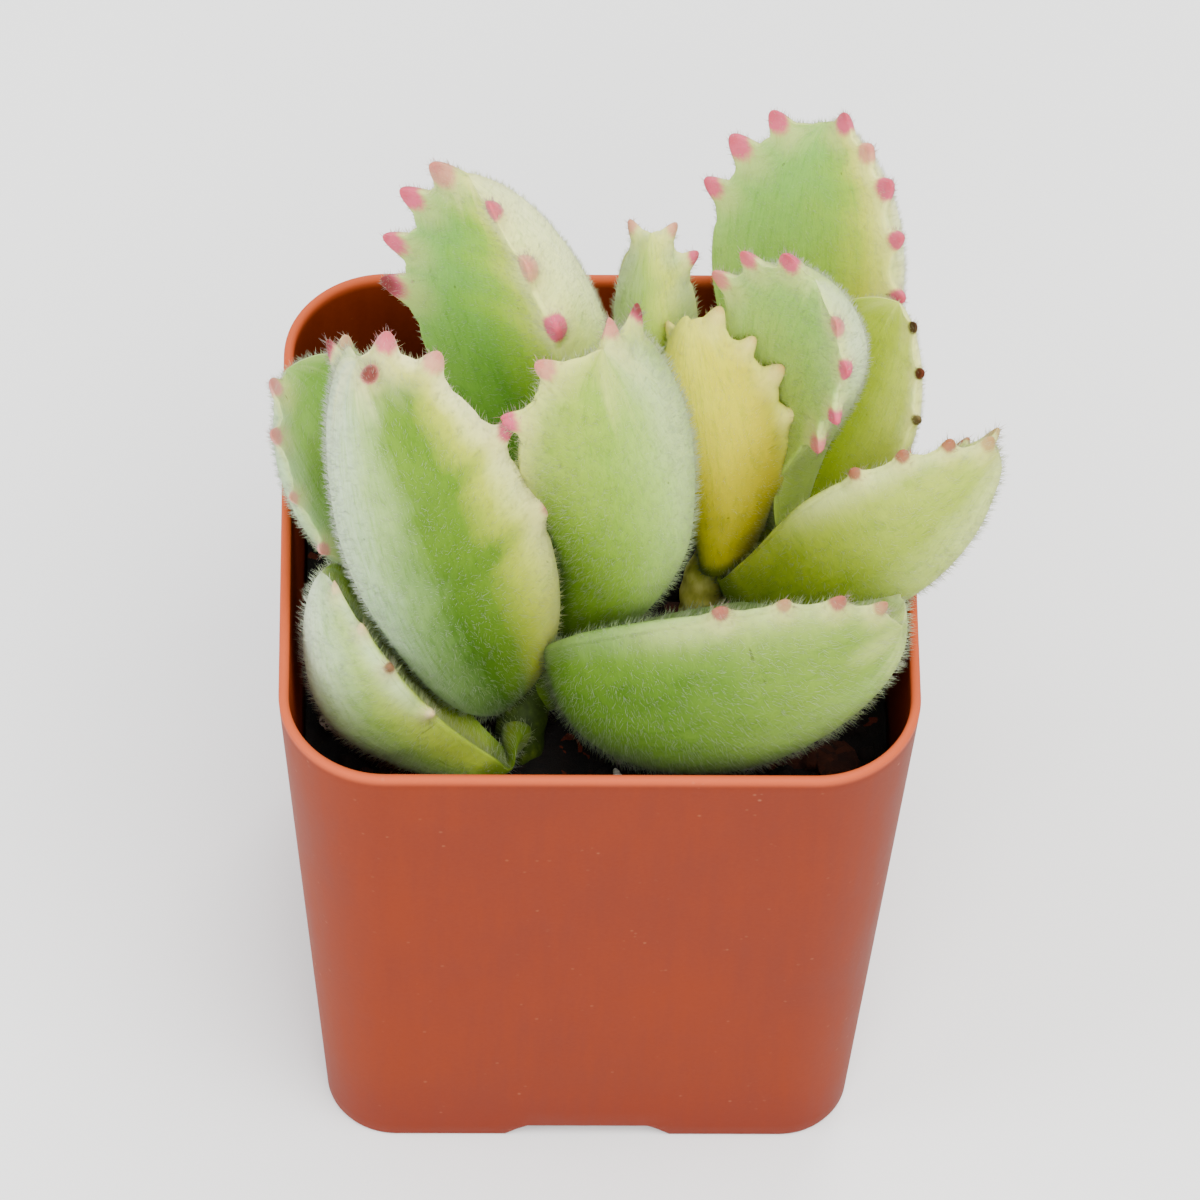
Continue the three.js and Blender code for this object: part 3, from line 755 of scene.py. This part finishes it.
def leafPoint(leaf, s, angle):
    # The skin at s of the way to the tip and angle round the section: the spine's parabola, plus
    # half * cos(angle) to the right, plus the face's height. The upper face is lip * |sin|^0.8 less
    # hollow * sin^2 of the thickness, the lower one -|sin|^0.9, and cup lifts both edges.
    f = {**leafForm, **leaf}
    root, chord, _, up, right = leafFrame(leaf)
    s, angle = np.broadcast_arrays(s, angle)
    foot = f["footRadius"] * np.sqrt(np.clip(1 - s / f["footEnd"], 0, 1))
    blade = np.sin(np.pi * np.clip(s, 0, 1) ** f["widest"]) ** f["widthBlunt"]
    depth = np.sin(np.pi * np.clip(s, 0, 1) ** f["deepest"]) ** f["depthBlunt"]
    half = np.hypot(leaf["width"] / 2 * blade, foot)
    thick = np.hypot(leaf["thick"] * depth, 2 * foot)
    arch = 4 * s * (1 - s)
    bulge, side = np.abs(np.sin(angle)), np.cos(angle)
    face = np.where(np.sin(angle) > 0, thick * (f["lip"] * bulge ** 0.8 - f["hollow"] * bulge ** 2),
                    -thick * bulge ** 0.9)
    cup = leaf["cup"] * side ** 2 * np.sin(np.pi * np.clip(s, 0, 1) ** 1.6) ** 0.35
    height = face + f["edgeRise"] * thick + cup - leaf["bow"] * arch
    across = half * side + leaf["sway"] * arch
    return root + chord * s[..., None] + right * across[..., None] + up * height[..., None]


def leafTeeth(leaf):
    # Each tooth's place, the way it points, the way the edge runs there and whether it has dried. faceTeeth
    # are dried ones on the outer face, by their fraction of the way to the tip and angle round the section.
    _, _, along, up, _ = leafFrame(leaf)
    form = toothForm
    step = 0.01
    teeth = []
    for s, angle in leaf.get("faceTeeth", ()):
        at, across = (leafPoint(leaf, np.array(s), a) for a in (angle, angle + math.pi))
        teeth.append((at, unit(unit(at - across) + form["faceLean"] * along), along, True))
    for sign, angle, places in ((1, 0.0, leaf["right"]), (-1, math.pi, leaf["left"])):
        for s in places:
            spots = (s, s - step, min(s + step, 1))
            at, before, after = (leafPoint(leaf, np.array(t), angle) for t in spots)
            run = unit(after - before)
            out = unit(sign * np.cross(run, up) + form["upLean"] * up + form["tipLean"] * along)
            teeth.append((at, out, run, False))
    return teeth


def leafSkin(leaf):
    # The whole leaf from the stem to its tip: stalk rings that turn into the blade's foot, then the blade,
    # at s = 1 - (1 - t^0.75)^1.5, which puts more rings towards the tip. Points crowd at the edges, by
    # angle - gather * sin(2 angle), and a few rounds of averaging with their neighbours soften the edges.
    f = leafForm
    root, _, along, _, right = leafFrame(leaf)
    turn = -2 * np.pi * np.arange(f["sides"]) / f["sides"]
    angle = turn - f["gather"] * np.sin(2 * turn)
    t = (np.arange(f["rings"]) + 0.6) / (f["rings"] + 0.2)
    s = 1 - (1 - t ** 0.75) ** 1.5
    blade = leafPoint(leaf, s[:, None], angle[None, :])

    t = (np.arange(f["stalkRings"]) / f["stalkRings"])[:, None]
    start = np.array(leaf["stalk"], float)
    first, last = root - start, along * np.linalg.norm(root - start)
    centre = (start * (1 + 2 * t) * (1 - t) ** 2 + root * t * t * (3 - 2 * t)
              + first * t * (1 - t) ** 2 - last * t * t * (1 - t))
    heading = unit(np.gradient(centre, axis=0))
    sideways = unit(right - heading * (heading @ right)[:, None])
    upwards = np.cross(sideways, heading)
    ring = sideways[:, None] * np.cos(angle)[None, :, None] + upwards[:, None] * np.sin(angle)[None, :, None]
    circle = centre[:, None] + ring * f["stalkRadius"]
    foot = leafPoint(leaf, np.zeros((1, 1)), angle[None, :]) - root
    ease = (t * t * (3 - 2 * t))[..., None]
    stalk = circle * (1 - ease) + (centre[:, None] + foot) * ease
    rings = np.concatenate([stalk, blade])
    for _ in range(f["rounding"]):
        rings = rings / 2 + (np.roll(rings, 1, 1) + np.roll(rings, -1, 1)) / 4
    return rings, np.concatenate([0 * t[:, 0], s]), angle


def leafNormals(rings):
    # Outward directions of a grid of rings: its step round crossed with its step along.
    around = np.roll(rings, -1, 1) - np.roll(rings, 1, 1)
    forward = np.gradient(rings, axis=0)
    return unit(np.cross(around, forward))


def acrossView(rings, along):
    # 0 to 1 over each ring, from its left to its right as the camera sees it when the tip is up. A ring
    # narrower than 0.2 mm counts as that wide.
    back = np.array(cameraAxes(cameraSettings)[2])
    places = rings @ unit(np.cross(along, back))
    low, high = (pick(places, axis=1, keepdims=True) for pick in (np.min, np.max))
    return (places - low) / np.maximum(high - low, 0.2)


def leafMaterial(name, leaf):
    # Bands of colour over the leaf, read from its along, across and edge attributes, streaks from its map,
    # and the teeth from toothed, swollen, red and dark. hair is above 0 on the felt alone.
    m = Maker(name + "_look")
    s, across, edge = (m.attribute(k) for k in ("along", "across", "edge"))
    toothed, red, dark = (m.attribute(k) for k in ("toothed", "red", "dark"))
    place = m.uv("leafMm")
    # streaks that run the length of the leaf, broad and fine, and small mottles
    broad = m.noise(m.times(place, (0.45, 0.06, 1.0)), 1.0, 3.0, 0.55) - 0.5
    fine = m.noise(m.times(place, (2.6, 0.3, 1.0)), 1.0, 3.0, 0.6) - 0.5
    grain = m.noise(m.times(place, (4.5, 2.2, 1.0)), 1.0, 3.0, 0.65) - 0.5
    cloud = m.noise(m.times(place, (0.35, 0.2, 1.0)), 1.0, 2.0, 0.5) - 0.5
    band = across + broad * 0.1 + fine * 0.15
    high, low = (m.ramp(band, [(p, leafPaint(c)) for p, c in leaf[k]]) for k in ("high", "low"))
    tone = m.mix((s + cloud * 0.3 + fine * 0.12).step(0.42, 0.95), low, high)
    darker = m.mix(1.0, tone, (0.68, 0.78, 0.55), "MULTIPLY")
    lighter = m.mix(1.0, tone, (1.3, 1.22, 1.25), "MULTIPLY")
    tone = m.mix((fine + grain * 0.6).step(0.0, 0.2) * 0.6, tone, darker)
    tone = m.mix((grain - fine * 0.4).step(0.02, 0.22) * 0.45, tone, lighter)
    tipTone = leafPaint(leaf["tipTone"])
    tone = m.mix((s + broad * 0.25).step(0.9, 1.02) * 0.5, tone, tipTone)
    tone = m.mix(edge * s.step(0.3, 0.6) * (0.6 + broad), tone, tipTone)
    # painted shade: dark olive at the root, where the leaf meets the stem among the other leaves
    tone = m.mix(s.step(0.08, 0.01) * 0.8, tone, leafPaint("64783a"))
    # teeth are cream at the foot, then pink, and deeper at the tip, with a few dried brown
    toothTone = paint(leaf.get("toothTone", "d67c90"))
    toothTip = tuple(c * k for c, k in zip(toothTone, (0.8, 0.5, 0.55)))
    worn = toothed + grain * 0.3
    tone = m.mix(m.attribute("swollen") * 0.4, tone, leafPaint("ece2b4"))
    tone = m.mix(red * worn.step(0.18, 0.6), tone, toothTone)
    tone = m.mix(red * worn.step(0.7, 1.0) * 0.6, tone, toothTip)
    tone = m.mix(dark * toothed.step(0.3, 0.8), tone, paint("7a4a38"))
    speck = m.cells(m.times(place, (0.3, 0.3, 1.0)), 1.0).step(0.05, 0.03)
    tone = m.mix(speck * 0.5, tone, paint("5c5c3a"))
    hairTone = m.mix(0.42, tone, leafPaint("f0f6e2"))
    tone = m.mix(m.attribute("hair"), tone, hairTone)
    normal = m.bump(fine * 0.5 + grain * 0.5, 0.4, 0.0003)
    return m.finish({
        "Base Color": tone, "Roughness": 0.65, "Normal": normal, "Specular IOR Level": 0.08,
        "Sheen Weight": 0.06, "Sheen Roughness": 0.2, "Sheen Tint": (0.93, 1.0, 0.93, 1.0),
        "Subsurface Weight": 0.25, "Subsurface Radius": (0.9, 1.0, 0.35), "Subsurface Scale": 0.0012,
    })


# Hairs on each square millimetre, the spread of their lengths round the leaf's own, their width, how far
# they lean to the tip and stray from that, and how deep they start.
feltSettings = dict(perSquare=7.5, spread=0.35, width=0.055, lean=0.8, stray=0.35, sunk=0.04)


def felt(rings, normals, along, marks, uv, size, settings, seed):
    # Hairs: slim three-sided spikes on the skin. Each starts at a random point of a random cell, more
    # often in the bigger ones, and leans towards the tip. It takes the skin's markings and its shading.
    draw = np.random.default_rng(seed)
    nextRing, nextSide = rings[1:], np.roll(rings[:-1], -1, 1)
    area = np.linalg.norm(np.cross(nextRing - rings[:-1], nextSide - rings[:-1]), axis=-1)
    share = (area / area.sum()).ravel()
    count = int(area.sum() * settings["perSquare"])
    cell = draw.choice(len(share), count, p=share)
    k, i = np.unravel_index(cell, area.shape)
    j = (i + 1) % rings.shape[1]
    u, v = draw.uniform(size=(2, count, 1))
    at, normal = (
        (grid[k, i] * (1 - u) + grid[k, j] * u) * (1 - v)
        + (grid[k + 1, i] * (1 - u) + grid[k + 1, j] * u) * v
        for grid in (rings, normals)
    )
    normal = unit(normal)
    lean = along * settings["lean"] + draw.normal(0, settings["stray"], (count, 3))
    way = unit(normal + (lean - normal * (lean * normal).sum(-1, keepdims=True)))
    length = size * draw.uniform(1 - settings["spread"], 1 + settings["spread"], (count, 1))
    first = unit(np.cross(way, draw.normal(size=(count, 3))))
    second = np.cross(way, first)
    base = at - normal * settings["sunk"]
    half = settings["width"] / 2
    thirds = (0, 2 * math.pi / 3, 4 * math.pi / 3)
    corners = [base + half * (first * math.cos(a) + second * math.sin(a)) for a in thirds]
    points = np.stack([*corners, base + way * length], 1).reshape(-1, 3)
    n = 4 * np.arange(count)[:, None]
    faces = np.concatenate([n + c for c in ([0, 1, 3], [1, 2, 3], [2, 0, 3], [0, 2, 1])])
    marks = {key: np.repeat(grid[k, i], 4) for key, grid in marks.items()}
    # paler towards its end, and some hairs paler than others
    marks["hair"] = (np.array([0.3, 0.3, 0.3, 1.0]) * draw.uniform(0.2, 1.0, (count, 1))).ravel()
    return dict(
        points=points, faces=[faces], attributes=marks, uv=np.repeat(uv[k, i], 4, 0),
        normals=np.repeat(normal, 4, 0),
    )


def raiseTeeth(leaf, rings, draw):
    # Each tooth is a dome, height * (1 - r^blunt)^sharp, where r is the distance over radius, on a wide
    # low swelling, baseHeight * (1 - r^2)^2. The skin dips a little beside it. Gives the new skin and the
    # teeth's markings.
    t = toothForm
    scale = leaf["teeth"]
    marks = {key: np.zeros(rings.shape[:2]) for key in ("toothed", "swollen", "red", "dark")}
    push = np.zeros_like(rings)
    for at, out, run, dried in leafTeeth(leaf):
        offset = rings - at
        size = scale * draw.uniform(*t["sizes"]) * (t["driedScale"] if dried else 1)
        across = np.linalg.norm(offset - run * (offset @ run)[..., None], axis=-1)
        far = np.hypot(offset @ run, across * 0.9) / size
        dome = np.clip(1 - np.clip(far / t["radius"], 0, 1) ** t["blunt"], 0, 1) ** t["sharp"]
        swelling = np.clip(1 - (far / t["baseRadius"]) ** 2, 0, 1) ** 2
        dip = np.clip(1 - np.abs(far / t["radius"] - 2) / 0.8, 0, 1) ** 2 * np.clip(1 - across / 2, 0, 1)
        rise = t["height"] * dome + t["baseHeight"] * swelling - t["notch"] * dip
        push += out * (size * rise)[..., None]
        marks["toothed"] = np.maximum(marks["toothed"], dome)
        marks["swollen"] = np.maximum(marks["swollen"], swelling)
        shade = draw.uniform()
        brown = t["brown"] if dried or shade > 1 - t["driedShare"] else 0.0
        onTooth = dome > 0.02
        marks["red"] = np.where(onTooth, min(1, t["pink"] + shade), marks["red"])
        marks["dark"] = np.where(onTooth, brown, marks["dark"])
    return rings + push, marks


def closedList(grid):
    # A grid's values as a list, with its first one before it and its last one after it for the poles.
    return np.concatenate([grid[:1, 0], grid.reshape(-1, *grid.shape[2:]), grid[-1:, 0]])


def addLeaf(name, leaf):
    rings, s, angle = leafSkin(leaf)
    _, chord, along, _, _ = leafFrame(leaf)
    # shallow dents and swellings that run with the leaf
    around = np.cumsum(np.linalg.norm(np.roll(rings, -1, 1) - rings, axis=-1), 1)
    far = s[:, None] * np.linalg.norm(chord) + 0 * around
    uneven = wave(around, 0.35 * far, leaf["seed"]) * leafForm["dents"]
    uneven = uneven + wave(around, far, leaf["seed"] + 50, low=0.05, high=0.2) * leafForm["swellings"]
    ends = np.clip(np.sin(np.pi * s), 0, 1)[:, None] ** 0.5
    rings = rings + leafNormals(rings) * (uneven * ends)[..., None]
    rings, marks = raiseTeeth(leaf, rings, np.random.default_rng(leaf["seed"]))
    side, face = (np.broadcast_to(v, far.shape) for v in (np.cos(angle), np.sin(angle)))
    marks.update(
        along=s[:, None] + 0 * far, across=acrossView(rings, along), edge=np.exp(-(face / 0.12) ** 2),
    )
    # the map is in millimetres, and the lower face's lies 60 of them aside, so that its streaks differ
    uv = np.stack([side * leaf["width"] / 2 + np.where(face > 0, 0, 60), far], -1)
    ends = [rings[0].mean(0)[None], rings[-1].mean(0)[None] + along * 0.02]
    look = leafMaterial(name, leaf)
    points = np.concatenate([ends[0], rings.reshape(-1, 3), ends[1]])
    skin = addMesh(
        name + "_skin", points, tubeFaces(*far.shape), look,
        uv=closedList(uv), attributes={k: closedList(v) for k, v in marks.items()},
    )
    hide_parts(name)
    pieces = [skin]
    normals = leafNormals(rings)
    hairs = felt(rings, normals, along, marks, uv, leaf["hair"], feltSettings, leaf["seed"] + 100)
    pieces.append(addMesh(name + "_felt", material=look, **hairs))
    for piece in pieces:
        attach(piece, "root")
    return sum(len(piece.data.polygons) for piece in pieces)


faceTotal = 0
for name, leaf in leafSettings.items():
    faceTotal += addLeaf(name, leaf)
    print(name, "ready")
print("leaves ready, with", faceTotal, "faces")


# Floor

def addFloor():
    m = Maker("floor_look")
    tone = m.mix(m.noise(m.place(), 6.0, 3.0).step(0.3, 0.7), (0.86, 0.86, 0.86), (0.89, 0.89, 0.89))
    look = m.finish({"Base Color": tone, "Roughness": 0.7})
    reach = 4000
    corners = [(-reach, -reach, 0), (reach, -reach, 0), (reach, reach, 0), (-reach, reach, 0)]
    points = np.array(corners, float)
    floor = addMesh("floor", points, [np.array([[0, 1, 2, 3]])], look)


addFloor()
